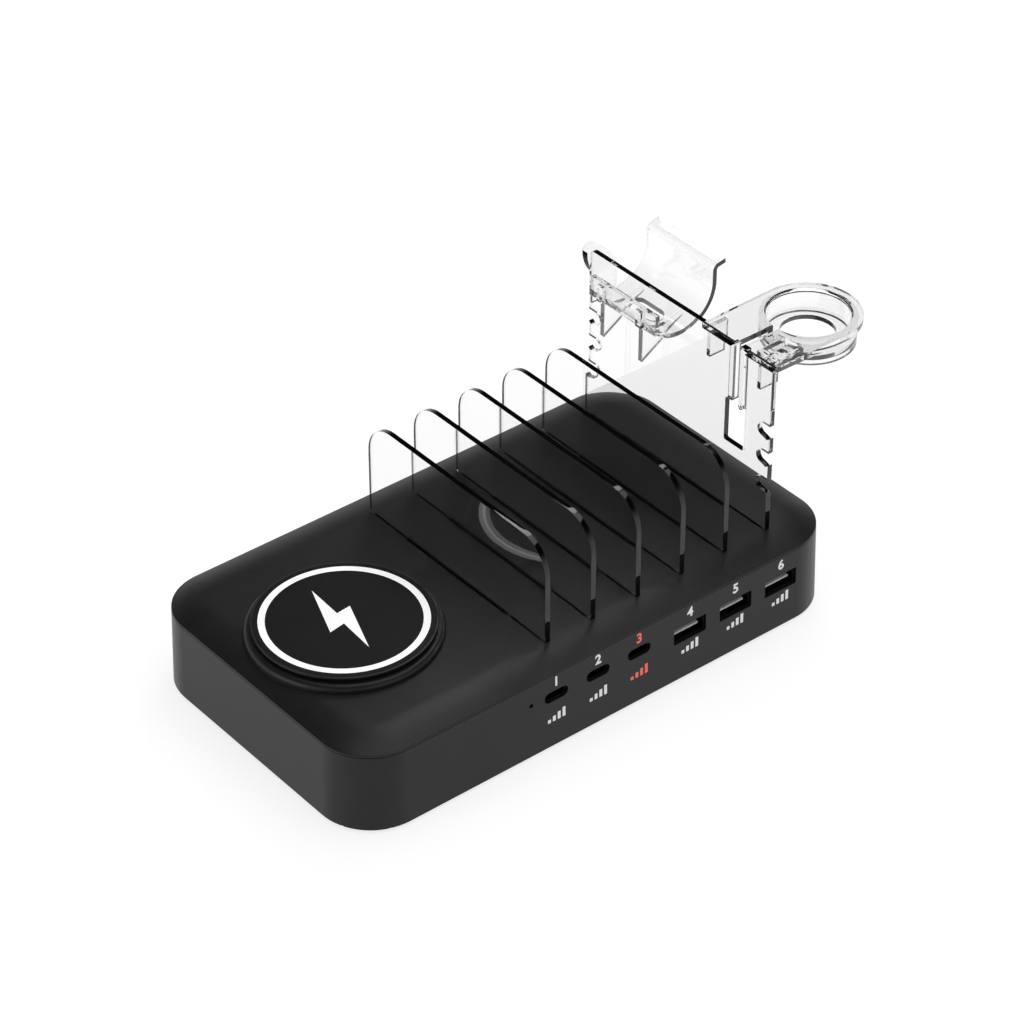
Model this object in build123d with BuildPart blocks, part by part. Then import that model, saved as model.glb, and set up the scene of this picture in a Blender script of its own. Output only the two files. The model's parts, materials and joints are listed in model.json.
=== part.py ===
import os
from math import acos, atan2, degrees

from build123d import *

os.makedirs("parts", exist_ok=True)

# Desktop charging station. +X runs along the case from the charging pad to the tall plate,
# the USB sockets look along -Y and +Z is up. The origin lies on the table, in the middle of the
# object's own box. Sketches use the case's frame: its middle, and heights above its lower edge.

# Fits that many pieces share
overrun = 2.0
fit = 0.15
end_gap = 0.3
seat_gap = 0.05
moulded_in = 0.05
edge_tolerance = 0.05

# Case, measured at the seam between its two shells
case_length = 200.0
case_width = 112.0
corner_radius = 18.7
seam_height = 29.4
wall_flare = 0.82
wall = 2.4
base_round = 0.6
seam_groove = 0.3

# Crowned cover
crown_rise = 2.6
crown_run = 13.0
crown_arc_share = 0.97
cover_edge = 0.6
cover_edge_round = 0.25
cover_thickness = 2.4
rim_depth = 2.5
rim_wall = 1.4
rim_clearance = 0.2

# Feet and case screws, one of each under every corner post
foot_radius = 6.0
foot_height = 1.0
foot_recess = 1.0
foot_chamfer = 0.3
post_inset = 14.0
post_radius = 4.5
post_height = 14.0
boss_radius = 3.6
screw_radius = 1.45
screw_length = 20.0
screw_head_radius = 2.8
screw_head_height = 2.0
screw_head_top = 4.0
screw_clearance = 0.25

# Wireless charging pad
pad_end_distance = 37.1
pedestal_radius = 32.3
pedestal_rise = 2.6
pedestal_round = 2.0
pad_recess_radius = 26.4
pad_recess_depth = 3.4
pad_radius = 30.0
pad_flange = 1.2
pad_flange_chamfer = 0.4
pad_shadow_gap = 0.7
pad_seat_radius = 28.6
pad_skirt_wall = 1.3
pad_face_radius = 29.2
pad_face_thickness = 0.6
pad_web = 1.3
coil_outer_radius = 22.5
coil_inner_radius = 9.0
coil_thickness = 1.2
ferrite_radius = 24.5
ferrite_thickness = 1.0
lead_hole_radius = 3.0
lead_hole_distance = 17.5
lead_radius = 0.6
lead_spacing = 2.4
lead_bend = 5.0
lead_jog = 4.0
lead_jog_top_share = 0.67
lead_jog_foot_share = 0.33

# Clear sheets: five dividers evenly between the pad and the tall plate
sheet = 2.0
divider_count = 5
plate_end_distance = 24.0
pad_divider_gap = 12.6
divider_width = 91.0
divider_rise = 37.2
divider_corner = 12.0
tongue_width = 51.0
tongue_depth = 8.0
tongue_corner = 1.0
socket_wall = 1.4
socket_lead_in = 0.3

# Tall plate: cable notches down both edges, a cable slot and two windows
plate_width = 90.4
plate_rise = 65.0
plate_corner = 2.0
notch_top_drop = 23.5
notch_pitch = 10.6
notch_count = 3
notch_depth = 5.7
notch_end_radius = 2.45
notch_fall = 5.6
notch_mouth = 4.7
notch_lip = 1.2
notch_lip_curve = 0.4
slot_width = 6.9
slot_foot_width = 9.3
slot_foot_rise = 25.6
slot_foot_height = 16.7
slot_corner = 0.6
window_width = 3.2
window_drop = 10.5
window_height = 6.5

# Watch holder
cable_y = -28.45
ring_y = -28.9
ring_from_plate = 30.8
ring_radius = 17.9
shelf_width = 34.6
shelf_thickness = 2.2
puck_radius = 14.0
puck_lead_in = 0.6
puck_depth = 7.1
cup_radius = 16.2
cup_floor = 1.8
cup_skirt = 1.2
cup_hole_radius = 9.4
channel_width = 3.0
channel_depth = 5.6
leg_depth = 3.1
leg_length = 20.5
leg_step = 1.5
leg_round = 0.7
fin_reach = 6.6
fin_height = 10.4
fin_thickness = 1.6
fin_inset = 1.2
shelf_recess_length = 10.0
shelf_recess_width = 6.2
shelf_recess_depth = 3.6
shelf_recess_wall = 1.2
shelf_recess_y = -38.1
shelf_recess_from_plate = 3.6

# Earbud tray
trough_y = 29.5
trough_length = 34.0
trough_from_plate = 13.0
trough_drop = 7.5
trough_radius = 14.0
trough_wall = 1.8
trough_back_height = 4.3
trough_lip_radius = 2.0
trough_lip_turn = 80.0
trough_lip_run = 3.0
flange_top_drop = 3.5
flange_height = 7.7
gusset_spacing = 19.6
gusset_thickness = 2.0
gusset_foot_drop = 24.5
gusset_reach = 18.0
gusset_tip_drop = 13.5
lug_length = 2.6
lug_width = 2.8
ear_width = 11.0
ear_bend_drop = 6.5
ear_bend_radius = 5.0
ear_lean = 48.0
ear_top_lift = 3.0
trough_hole_length = 15.4
trough_hole_width = 6.5

# USB sockets
usb_a_end_distance = 46.05
usb_a_pitch = 19.85
usb_a_drop = 11.25
usb_a_width = 13.1
usb_a_height = 5.7
usb_a_tongue_width = 11.1
usb_a_tongue_thickness = 1.84
usb_a_tongue_lift = 0.6
usb_a_tongue_recess = 2.4
usb_a_block = 5.0
usb_c_end_distance = 104.85
usb_c_pitch = 17.25
usb_c_drop = 9.3
usb_c_width = 8.94
usb_c_height = 3.26
usb_c_length = 9.0
usb_c_tongue_width = 6.69
usb_c_tongue_thickness = 0.7
usb_c_tongue_recess = 1.8
usb_c_block_height = 4.2
shell_wall = 0.3
mouth_gap = 0.35
mouth_recess = 0.5
socket_depth = 14.5
pipe_end_distance = 132.35
pipe_drop = 8.7
pipe_radius = 0.7
pipe_body_radius = 1.6
pipe_hole_clearance = 0.1
pipe_recess = 0.4

# Mains inlet, a two-pin figure-eight socket in the rear wall
inlet_end_distance = 40.0
inlet_width = 20.4
inlet_height = 11.6
inlet_corner = 1.5
inlet_length = 15.6
inlet_face_recess = 0.1
inlet_recess_depth = 12.5
inlet_lobe_radius = 3.8
inlet_waist = 5.6
inlet_pin_radius = 1.18
inlet_pin_pitch = 8.6
inlet_pin_setback = 1.5
inlet_pin_tail = 2.6
inlet_pin_bend = 2.4

# Boards and what stands on them
board_thickness = 1.6
board_rise = 4.6
board_end_inset = 22.0
board_side_inset = 10.0
board_corner = 2.0
standoff_radius = 3.0
standoff_inset = 12.0
board_screw_radius = 1.05
board_screw_length = 5.0
board_screw_head_radius = 2.2
board_screw_head_height = 1.5
output_board_margin = 7.0
output_board_top_drop = 4.4
headroom = 0.9
transformer_length = 30.0
transformer_width = 16.0
transformer_leg = 8.0
transformer_yoke = 3.0
transformer_window = 5.6
winding_clearance = 0.2
capacitor_radius = 6.2
capacitor_pitch = 14.0
capacitor_count = 3
capacitor_headroom = 3.0
capacitor_chamfer = 0.8
output_capacitor_radius = 4.0
output_capacitor_pitch = 16.0
output_capacitor_count = 5
choke_outer_radius = 8.0
choke_inner_radius = 3.6
choke_height = 7.0
choke_chamfer = 1.2
fuse_radius = 2.6
fuse_length = 20.0
fuse_cap_length = 5.0
fuse_glass_step = 0.3
heat_sink_length = 30.0
heat_sink_width = 20.0
heat_sink_base = 3.0
heat_sink_fin = 1.4
heat_sink_fin_count = 6
transformer_place_shares = (0.05, 0.03)
capacitor_place_shares = (-0.08, 0.32)
output_capacitor_y_share = -0.27
output_capacitor_screw_gap = 7.8
choke_gap_share = 0.613
fuse_gap = 3.8
heat_sink_place_shares = (0.25, 0.02)

# Vents in the floor
vent_length = 16.0
vent_width = 2.0
vent_pitch = 5.0
vent_count = 8
vent_row_pitch = 24.0

# Heights and places that follow from the sizes above
plateau = seam_height + crown_rise
tub_height = seam_height - cover_edge
cover_under = plateau - cover_thickness
plate_x = case_length / 2 - plate_end_distance
plate_back = plate_x + sheet
plate_top = plateau + plate_rise
shelf_under = plate_top - shelf_thickness
ring_x = plate_x + ring_from_plate
pad_x = -(case_length / 2 - pad_end_distance)
first_divider_x = pad_x + pedestal_radius + pad_divider_gap
sheet_pitch = (plate_x - first_divider_x) / divider_count
pedestal_top = plateau + pedestal_rise
pad_flange_bottom = pedestal_top + pad_shadow_gap
pad_top = pad_flange_bottom + pad_flange
pad_recess_floor = pedestal_top - pad_recess_depth
pad_web_bottom = pad_top - pad_face_thickness - pad_web
coil_bottom = pad_web_bottom - coil_thickness
ferrite_bottom = coil_bottom - ferrite_thickness
socket_floor = plateau - tongue_depth - end_gap
socket_bottom = socket_floor - socket_wall
board_bottom = wall + board_rise
board_top = board_bottom + board_thickness
board_length = case_length - 2 * board_end_inset
board_width = case_width - 2 * board_side_inset
post_x = case_length / 2 - post_inset
post_y = case_width / 2 - post_inset
standoff_x = board_length / 2 - standoff_inset
standoff_y = board_width / 2 - standoff_inset
screw_bottom = screw_head_top - screw_head_height
mouth_y = -(case_width / 2 - mouth_recess)
output_board_y = mouth_y + socket_depth
usb_a_x = case_length / 2 - usb_a_end_distance
usb_a_z = seam_height - usb_a_drop
usb_c_x = case_length / 2 - usb_c_end_distance
usb_c_z = seam_height - usb_c_drop
pipe_x = case_length / 2 - pipe_end_distance
pipe_z = seam_height - pipe_drop
inlet_x = case_length / 2 - inlet_end_distance
inlet_z = board_top + inlet_height / 2
inlet_face_y = case_width / 2 - inlet_face_recess
trough_x = plate_x + trough_from_plate
trough_z = plate_top - trough_drop
wall_cut = wall + wall_flare + 2 * overrun
case_x = -(ring_x + ring_radius - case_length / 2 - wall_flare) / 2
draft = degrees(atan2(wall_flare, seam_height))

usb_a_points = [(usb_a_x + step * usb_a_pitch, usb_a_z) for step in (-1, 0, 1)]
usb_c_points = [(usb_c_x + step * usb_c_pitch, usb_c_z) for step in (-1, 0, 1)]
sheet_xs = [first_divider_x + step * sheet_pitch for step in range(divider_count + 1)]


def level(height):
    """Horizontal plane at a height above the lower edge of the case."""
    return Plane((case_x, 0, foot_height + height))


def across(x):
    """Upright plane across the case: a sketch's x runs along the width, its y upwards."""
    return Plane((case_x + x, 0, foot_height), x_dir=(0, 1, 0), z_dir=(1, 0, 0))


def along(y):
    """Upright plane along the case, facing the sockets' side: x along the length, y upwards."""
    return Plane((case_x, y, foot_height), x_dir=(1, 0, 0), z_dir=(0, -1, 0))


def place(shares):
    """Point on a board, from shares of the case's length and width."""
    return (shares[0] * case_length, shares[1] * case_width)


def at_height(piece, height):
    """Edges of a piece that lie wholly at one height above the case's lower edge."""
    return piece.edges().filter_by_position(
        Axis.Z, foot_height + height - edge_tolerance, foot_height + height + edge_tolerance
    )


def save(piece, name):
    piece.part.label = name
    export_step(piece.part, f"parts/{name}.step")


# Lower case: a drafted tub with posts, standoffs, vents and the openings of the sockets
floor_flare = wall_flare * (1 - wall / seam_height)
with BuildPart() as lower_case:
    with BuildSketch(level(0)):
        RectangleRounded(
            case_length + 2 * wall_flare, case_width + 2 * wall_flare, corner_radius + wall_flare
        )
    extrude(amount=tub_height, taper=draft)
    fillet(lower_case.edges().group_by(Axis.Z)[0], radius=base_round)
    chamfer(lower_case.edges().group_by(Axis.Z)[-1], length=seam_groove)
    with BuildSketch(level(wall)):
        RectangleRounded(
            case_length + 2 * (floor_flare - wall),
            case_width + 2 * (floor_flare - wall),
            corner_radius + floor_flare - wall,
        )
    extrude(amount=seam_height, taper=draft, mode=Mode.SUBTRACT)
    with BuildSketch(level(wall)):
        with GridLocations(2 * post_x, 2 * post_y, 2, 2):
            Circle(post_radius)
    extrude(amount=post_height - wall)
    with BuildSketch(level(wall)):
        with GridLocations(2 * standoff_x, 2 * standoff_y, 2, 2):
            Circle(standoff_radius)
    extrude(amount=board_rise)
    with BuildSketch(level(0)):
        with GridLocations(2 * post_x, 2 * post_y, 2, 2):
            Circle(screw_radius + screw_clearance)
    extrude(amount=post_height + overrun, mode=Mode.SUBTRACT)
    with BuildSketch(level(0)):
        with GridLocations(2 * post_x, 2 * post_y, 2, 2):
            Circle(screw_head_radius + screw_clearance)
    extrude(amount=screw_head_top, mode=Mode.SUBTRACT)
    with BuildSketch(level(-overrun)):
        with GridLocations(2 * post_x, 2 * post_y, 2, 2):
            Circle(foot_radius + fit)
    extrude(amount=foot_recess + overrun, mode=Mode.SUBTRACT)
    with BuildSketch(level(board_bottom - board_screw_length + board_thickness)):
        with GridLocations(2 * standoff_x, 2 * standoff_y, 2, 2):
            Circle(board_screw_radius + moulded_in)
    extrude(amount=board_screw_length, mode=Mode.SUBTRACT)
    with BuildSketch(level(-overrun)):
        with GridLocations(vent_pitch, vent_row_pitch, vent_count, 2):
            SlotOverall(vent_length, vent_width, rotation=90)
    extrude(amount=wall + 2 * overrun, mode=Mode.SUBTRACT)
    with BuildSketch(along(-(case_width / 2 + wall_flare + overrun))):
        with Locations(*usb_c_points):
            SlotOverall(usb_c_width + 2 * mouth_gap, usb_c_height + 2 * mouth_gap)
        with Locations(*usb_a_points):
            RectangleRounded(usb_a_width + 2 * mouth_gap, usb_a_height + 2 * mouth_gap, mouth_gap)
        with Locations((pipe_x, pipe_z)):
            Circle(pipe_radius + pipe_hole_clearance)
    extrude(amount=-wall_cut, mode=Mode.SUBTRACT)
    with BuildSketch(along(case_width / 2 + wall_flare + overrun)):
        with Locations((inlet_x, inlet_z)):
            RectangleRounded(inlet_width + 2 * fit, inlet_height + 2 * fit, inlet_corner + fit)
    extrude(amount=wall_cut, mode=Mode.SUBTRACT)
save(lower_case, "lower_case")

# Top cover: a shallow crown round a flat plateau, the pad's pedestal, and the sheets' sockets.
# The crown is an arc that meets the plateau tangentially, made as a slope with a wide fillet.
slope_run = (crown_run**2 - crown_rise**2) / (2 * crown_run)
crown_arc = crown_arc_share * (crown_run**2 + crown_rise**2) / (2 * crown_rise)
rim_length = case_length - 2 * (wall + rim_clearance)
rim_width = case_width - 2 * (wall + rim_clearance)
rim_radius = corner_radius - wall - rim_clearance
with BuildPart() as top_cover:
    with BuildSketch(level(seam_height)):
        RectangleRounded(case_length, case_width, corner_radius)
    with BuildSketch(level(plateau)):
        RectangleRounded(
            case_length - 2 * slope_run, case_width - 2 * slope_run, corner_radius - slope_run
        )
    loft(ruled=True)
    fillet(top_cover.edges().group_by(Axis.Z)[-1], radius=crown_arc)
    with BuildSketch(level(tub_height)):
        RectangleRounded(case_length, case_width, corner_radius)
    extrude(amount=cover_edge)
    fillet(at_height(top_cover, seam_height), radius=cover_edge_round)
    with BuildSketch(level(seam_height)):
        with Locations((pad_x, 0)):
            Circle(pedestal_radius)
    extrude(amount=crown_rise + pedestal_rise)
    fillet(top_cover.edges().group_by(Axis.Z)[-1], radius=pedestal_round)
    with BuildSketch(level(tub_height - rim_depth)):
        RectangleRounded(rim_length, rim_width, rim_radius)
    extrude(amount=rim_depth)
    with BuildSketch(level(tub_height - rim_depth)):
        RectangleRounded(rim_length - 2 * rim_wall, rim_width - 2 * rim_wall, rim_radius - rim_wall)
    extrude(amount=cover_under - tub_height + rim_depth, mode=Mode.SUBTRACT)
    with BuildSketch(level(post_height)):
        with GridLocations(2 * post_x, 2 * post_y, 2, 2):
            Circle(boss_radius)
    extrude(amount=cover_under - post_height)
    with BuildSketch(level(post_height)):
        with GridLocations(2 * post_x, 2 * post_y, 2, 2):
            Circle(screw_radius + moulded_in)
    extrude(amount=screw_head_top + screw_length + end_gap - post_height, mode=Mode.SUBTRACT)
    with BuildSketch(level(socket_bottom)):
        with Locations(*[(x + sheet / 2, 0) for x in sheet_xs]):
            Rectangle(sheet + 2 * (fit + socket_wall), tongue_width + 2 * (end_gap + socket_wall))
    extrude(amount=cover_under - socket_bottom)
    with BuildSketch(level(socket_floor)):
        with Locations(*[(x + sheet / 2, 0) for x in sheet_xs]):
            Rectangle(sheet + 2 * fit, tongue_width + 2 * end_gap)
    extrude(amount=tongue_depth + end_gap + overrun, mode=Mode.SUBTRACT)
    with BuildSketch(level(plateau)):
        with Locations(*[(x + sheet / 2, 0) for x in sheet_xs]):
            Rectangle(
                sheet + 2 * (fit + socket_lead_in), tongue_width + 2 * (end_gap + socket_lead_in)
            )
    extrude(amount=-socket_lead_in, taper=45, mode=Mode.SUBTRACT)
    with BuildSketch(level(pad_recess_floor)):
        with Locations((pad_x, 0)):
            Circle(pad_recess_radius)
    extrude(amount=pad_recess_depth + overrun, mode=Mode.SUBTRACT)
    with BuildSketch(level(cover_under)):
        with Locations((pad_x + lead_hole_distance, 0)):
            Circle(lead_hole_radius)
    extrude(amount=pad_recess_floor - cover_under + overrun, mode=Mode.SUBTRACT)
save(top_cover, "top_cover")

# Charging pad: flanged shell, face disc, coil on its ferrite, and the board under them
with BuildPart() as pad_shell:
    with BuildSketch(level(pad_flange_bottom)):
        with Locations((pad_x, 0)):
            Circle(pad_radius)
    extrude(amount=pad_flange)
    chamfer(pad_shell.edges().group_by(Axis.Z)[0], length=pad_flange_chamfer)
    with BuildSketch(level(pedestal_top)):
        with Locations((pad_x, 0)):
            Circle(pad_seat_radius)
    extrude(amount=pad_shadow_gap)
    with BuildSketch(level(pad_recess_floor + moulded_in)):
        with Locations((pad_x, 0)):
            Circle(pad_recess_radius - fit)
    extrude(amount=pad_recess_depth)
    with BuildSketch(level(pad_recess_floor)):
        with Locations((pad_x, 0)):
            Circle(pad_recess_radius - fit - pad_skirt_wall)
    extrude(amount=pad_web_bottom - pad_recess_floor, mode=Mode.SUBTRACT)
    with BuildSketch(level(pad_top - pad_face_thickness)):
        with Locations((pad_x, 0)):
            Circle(pad_face_radius + moulded_in)
    extrude(amount=pad_face_thickness + overrun, mode=Mode.SUBTRACT)
save(pad_shell, "pad_shell")

with BuildPart() as pad_face:
    with BuildSketch(level(pad_top - pad_face_thickness)):
        with Locations((pad_x, 0)):
            Circle(pad_face_radius)
    extrude(amount=pad_face_thickness)
save(pad_face, "pad_face")

with BuildPart() as charging_coil:
    with BuildSketch(level(coil_bottom)):
        with Locations((pad_x, 0)):
            Circle(coil_outer_radius)
            Circle(coil_inner_radius, mode=Mode.SUBTRACT)
    extrude(amount=coil_thickness)
save(charging_coil, "charging_coil")

with BuildPart() as ferrite_disc:
    with BuildSketch(level(ferrite_bottom)):
        with Locations((pad_x, 0)):
            Circle(ferrite_radius)
    extrude(amount=ferrite_thickness)
save(ferrite_disc, "ferrite_disc")

with BuildPart() as coil_board:
    with BuildSketch(level(pad_recess_floor)):
        with Locations((pad_x, 0)):
            Circle(ferrite_radius)
    extrude(amount=ferrite_bottom - pad_recess_floor)
save(coil_board, "coil_board")

# Two leads from the coil's board to the main board, each with a slack jog
lead_x = pad_x + lead_hole_distance
lead_drop = pad_recess_floor - board_top
lead_jog_top = foot_height + board_top + lead_jog_top_share * lead_drop
lead_jog_foot = foot_height + board_top + lead_jog_foot_share * lead_drop
with BuildPart() as coil_leads:
    for side in (-1, 1):
        lead_y = side * lead_spacing / 2
        with BuildLine() as lead_route:
            FilletPolyline(
                (case_x + lead_x, lead_y, foot_height + pad_recess_floor),
                (case_x + lead_x, lead_y, lead_jog_top),
                (case_x + lead_x - lead_jog, lead_y, lead_jog_foot),
                (case_x + lead_x - lead_jog, lead_y, foot_height + board_top),
                radius=lead_bend,
            )
        with BuildSketch(level(pad_recess_floor)):
            with Locations((lead_x, lead_y)):
                Circle(lead_radius)
        sweep(path=lead_route.line)
save(coil_leads, "coil_leads")

# Main board on four standoffs, with the mains parts at its rear edge
with BuildPart() as main_board:
    with BuildSketch(level(board_bottom)):
        RectangleRounded(board_length, board_width, board_corner)
        with GridLocations(2 * standoff_x, 2 * standoff_y, 2, 2):
            Circle(board_screw_radius + fit, mode=Mode.SUBTRACT)
        with Locations((inlet_x, inlet_face_y - inlet_length - inlet_pin_tail)):
            with GridLocations(inlet_pin_pitch, 0, 2, 1):
                Circle(inlet_pin_radius + fit, mode=Mode.SUBTRACT)
    extrude(amount=board_thickness)
save(main_board, "main_board")

with BuildPart() as board_screws:
    with BuildSketch(level(board_top)):
        with GridLocations(2 * standoff_x, 2 * standoff_y, 2, 2):
            Circle(board_screw_head_radius)
    extrude(amount=board_screw_head_height)
    with BuildSketch(level(board_top)):
        with GridLocations(2 * standoff_x, 2 * standoff_y, 2, 2):
            Circle(board_screw_radius)
    extrude(amount=-board_screw_length)
save(board_screws, "board_screws")

transformer_height = socket_bottom - headroom - board_top
transformer_x, transformer_y = place(transformer_place_shares)
window_x = (transformer_leg + transformer_window) / 2
winding_height = transformer_height - 2 * (transformer_yoke + winding_clearance)
winding_build = transformer_window - 2 * winding_clearance
with BuildPart() as transformer_core:
    with BuildSketch(along(transformer_y + transformer_width / 2)):
        with Locations((transformer_x, board_top + transformer_height / 2)):
            Rectangle(transformer_length, transformer_height)
            with GridLocations(2 * window_x, 0, 2, 1):
                Rectangle(
                    transformer_window, transformer_height - 2 * transformer_yoke, mode=Mode.SUBTRACT
                )
    extrude(amount=transformer_width)
save(transformer_core, "transformer_core")

with BuildPart() as transformer_winding:
    with BuildSketch(level(board_top + transformer_yoke + winding_clearance)):
        with Locations((transformer_x, transformer_y)):
            RectangleRounded(
                transformer_leg + 2 * (winding_clearance + winding_build),
                transformer_width + 2 * (winding_clearance + winding_build),
                winding_build,
            )
            Rectangle(
                transformer_leg + 2 * winding_clearance,
                transformer_width + 2 * winding_clearance,
                mode=Mode.SUBTRACT,
            )
    extrude(amount=winding_height)
save(transformer_winding, "transformer_winding")

capacitor_x, mains_row_y = place(capacitor_place_shares)
capacitor_row_half = (capacitor_count - 1) * capacitor_pitch / 2 + capacitor_radius
with BuildPart() as bulk_capacitors:
    with BuildSketch(level(board_top)):
        with Locations((capacitor_x, mains_row_y)):
            with GridLocations(capacitor_pitch, 0, capacitor_count, 1):
                Circle(capacitor_radius)
    extrude(amount=cover_under - capacitor_headroom - board_top)
    chamfer(bulk_capacitors.edges().group_by(Axis.Z)[-1], length=capacitor_chamfer)
save(bulk_capacitors, "bulk_capacitors")

output_row_half = (output_capacitor_count - 1) * output_capacitor_pitch / 2 + output_capacitor_radius
output_row_end = standoff_x - board_screw_head_radius - output_capacitor_screw_gap
with BuildPart() as output_capacitors:
    with BuildSketch(level(board_top)):
        with Locations((output_row_end - output_row_half, output_capacitor_y_share * case_width)):
            with GridLocations(output_capacitor_pitch, 0, output_capacitor_count, 1):
                Circle(output_capacitor_radius)
    extrude(amount=socket_bottom - 2 * headroom - board_top)
    chamfer(output_capacitors.edges().group_by(Axis.Z)[-1], length=capacitor_chamfer)
save(output_capacitors, "output_capacitors")

choke_space = inlet_x - inlet_width / 2 - capacitor_x - capacitor_row_half
choke_x = capacitor_x + capacitor_row_half + choke_gap_share * choke_space
with BuildPart() as choke:
    with BuildSketch(level(board_top)):
        with Locations((choke_x, mains_row_y)):
            Circle(choke_outer_radius)
            Circle(choke_inner_radius, mode=Mode.SUBTRACT)
    extrude(amount=choke_height)
    chamfer(choke.edges().group_by(Axis.Z)[-1], length=choke_chamfer)
save(choke, "choke")

fuse_x = capacitor_x - capacitor_row_half - fuse_gap - fuse_length / 2
with BuildPart() as fuse:
    with BuildSketch(across(fuse_x - fuse_length / 2)):
        with Locations((mains_row_y, board_top + fuse_radius)):
            Circle(fuse_radius)
    extrude(amount=fuse_cap_length)
    with BuildSketch(across(fuse_x - fuse_length / 2)):
        with Locations((mains_row_y, board_top + fuse_radius)):
            Circle(fuse_radius - fuse_glass_step)
    extrude(amount=fuse_length)
    with BuildSketch(across(fuse_x + fuse_length / 2)):
        with Locations((mains_row_y, board_top + fuse_radius)):
            Circle(fuse_radius)
    extrude(amount=-fuse_cap_length)
save(fuse, "fuse")

heat_sink_x, heat_sink_y = place(heat_sink_place_shares)
fin_pitch = (heat_sink_width - heat_sink_fin) / (heat_sink_fin_count - 1)
with BuildPart() as heat_sink:
    with BuildSketch(level(board_top)):
        with Locations((heat_sink_x, heat_sink_y)):
            Rectangle(heat_sink_length, heat_sink_width)
    extrude(amount=heat_sink_base)
    with BuildSketch(level(board_top + heat_sink_base)):
        with Locations((heat_sink_x, heat_sink_y)):
            with GridLocations(0, fin_pitch, 1, heat_sink_fin_count):
                Rectangle(heat_sink_length, heat_sink_fin)
    extrude(amount=transformer_height - heat_sink_base)
save(heat_sink, "heat_sink")

# Output board, upright behind the sockets
output_board_left = pipe_x - pipe_body_radius - overrun
output_board_right = usb_a_x + usb_a_pitch + output_board_margin
with BuildPart() as output_board:
    with BuildSketch(along(output_board_y)):
        with Locations((output_board_left, board_top)):
            Rectangle(
                output_board_right - output_board_left,
                seam_height - output_board_top_drop - board_top,
                align=(Align.MIN, Align.MIN),
            )
    extrude(amount=-board_thickness)
save(output_board, "output_board")

# USB sockets: drawn shells on the output board, each round a moulded tongue
with BuildPart() as usb_c_shells:
    with BuildSketch(along(mouth_y)):
        with Locations(*usb_c_points):
            SlotOverall(usb_c_width, usb_c_height)
            SlotOverall(
                usb_c_width - 2 * shell_wall, usb_c_height - 2 * shell_wall, mode=Mode.SUBTRACT
            )
    extrude(amount=-usb_c_length)
save(usb_c_shells, "usb_c_shells")

with BuildPart() as usb_c_tongues:
    with BuildSketch(along(mouth_y + usb_c_length)):
        with Locations(*usb_c_points):
            Rectangle(usb_c_width, usb_c_block_height)
    extrude(amount=-(socket_depth - usb_c_length))
    with BuildSketch(along(mouth_y + usb_c_length)):
        with Locations(*usb_c_points):
            Rectangle(usb_c_tongue_width, usb_c_tongue_thickness)
    extrude(amount=usb_c_length - usb_c_tongue_recess)
save(usb_c_tongues, "usb_c_tongues")

with BuildPart() as usb_a_shells:
    with BuildSketch(along(mouth_y)):
        with Locations(*usb_a_points):
            Rectangle(usb_a_width, usb_a_height)
            Rectangle(usb_a_width - 2 * shell_wall, usb_a_height - 2 * shell_wall, mode=Mode.SUBTRACT)
    extrude(amount=-socket_depth)
save(usb_a_shells, "usb_a_shells")

usb_a_inner_width = usb_a_width - 2 * (shell_wall + moulded_in)
usb_a_inner_height = usb_a_height - 2 * (shell_wall + moulded_in)
with BuildPart() as usb_a_tongues:
    with BuildSketch(along(output_board_y)):
        with Locations(*usb_a_points):
            Rectangle(usb_a_inner_width, usb_a_inner_height)
    extrude(amount=usb_a_block)
    with BuildSketch(along(output_board_y - usb_a_block)):
        with Locations(*[(x, z + usb_a_tongue_lift) for x, z in usb_a_points]):
            Rectangle(usb_a_tongue_width, usb_a_tongue_thickness)
    extrude(amount=socket_depth - usb_a_block - usb_a_tongue_recess)
save(usb_a_tongues, "usb_a_tongues")

with BuildPart() as light_pipe:
    with BuildSketch(along(output_board_y)):
        with Locations((pipe_x, pipe_z)):
            Circle(pipe_body_radius)
    extrude(amount=case_width / 2 - wall - fit + output_board_y)
    with BuildSketch(along(output_board_y)):
        with Locations((pipe_x, pipe_z)):
            Circle(pipe_radius)
    extrude(amount=case_width / 2 - pipe_recess + output_board_y)
save(light_pipe, "light_pipe")

# Mains inlet and its two pins, which turn down into the main board
with BuildPart() as power_inlet:
    with BuildSketch(along(inlet_face_y)):
        with Locations((inlet_x, inlet_z)):
            RectangleRounded(inlet_width, inlet_height, inlet_corner)
    extrude(amount=inlet_length)
    with BuildSketch(along(inlet_face_y)):
        with Locations((inlet_x, inlet_z)):
            with GridLocations(inlet_pin_pitch, 0, 2, 1):
                Circle(inlet_lobe_radius)
            Rectangle(inlet_pin_pitch, inlet_waist)
    extrude(amount=inlet_recess_depth, mode=Mode.SUBTRACT)
    with BuildSketch(along(inlet_face_y)):
        with Locations((inlet_x, inlet_z)):
            with GridLocations(inlet_pin_pitch, 0, 2, 1):
                Circle(inlet_pin_radius + moulded_in)
    extrude(amount=inlet_length, mode=Mode.SUBTRACT)
save(power_inlet, "power_inlet")

pin_front_y = inlet_face_y - inlet_pin_setback
pin_tail_y = inlet_face_y - inlet_length - inlet_pin_tail
with BuildPart() as inlet_pins:
    for side in (-1, 1):
        pin_x = inlet_x + side * inlet_pin_pitch / 2
        with BuildLine() as pin_route:
            FilletPolyline(
                (case_x + pin_x, pin_front_y, foot_height + inlet_z),
                (case_x + pin_x, pin_tail_y, foot_height + inlet_z),
                (case_x + pin_x, pin_tail_y, foot_height + board_bottom),
                radius=inlet_pin_bend,
            )
        with BuildSketch(along(pin_front_y)):
            with Locations((pin_x, inlet_z)):
                Circle(inlet_pin_radius)
        sweep(path=pin_route.line)
save(inlet_pins, "inlet_pins")

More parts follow.
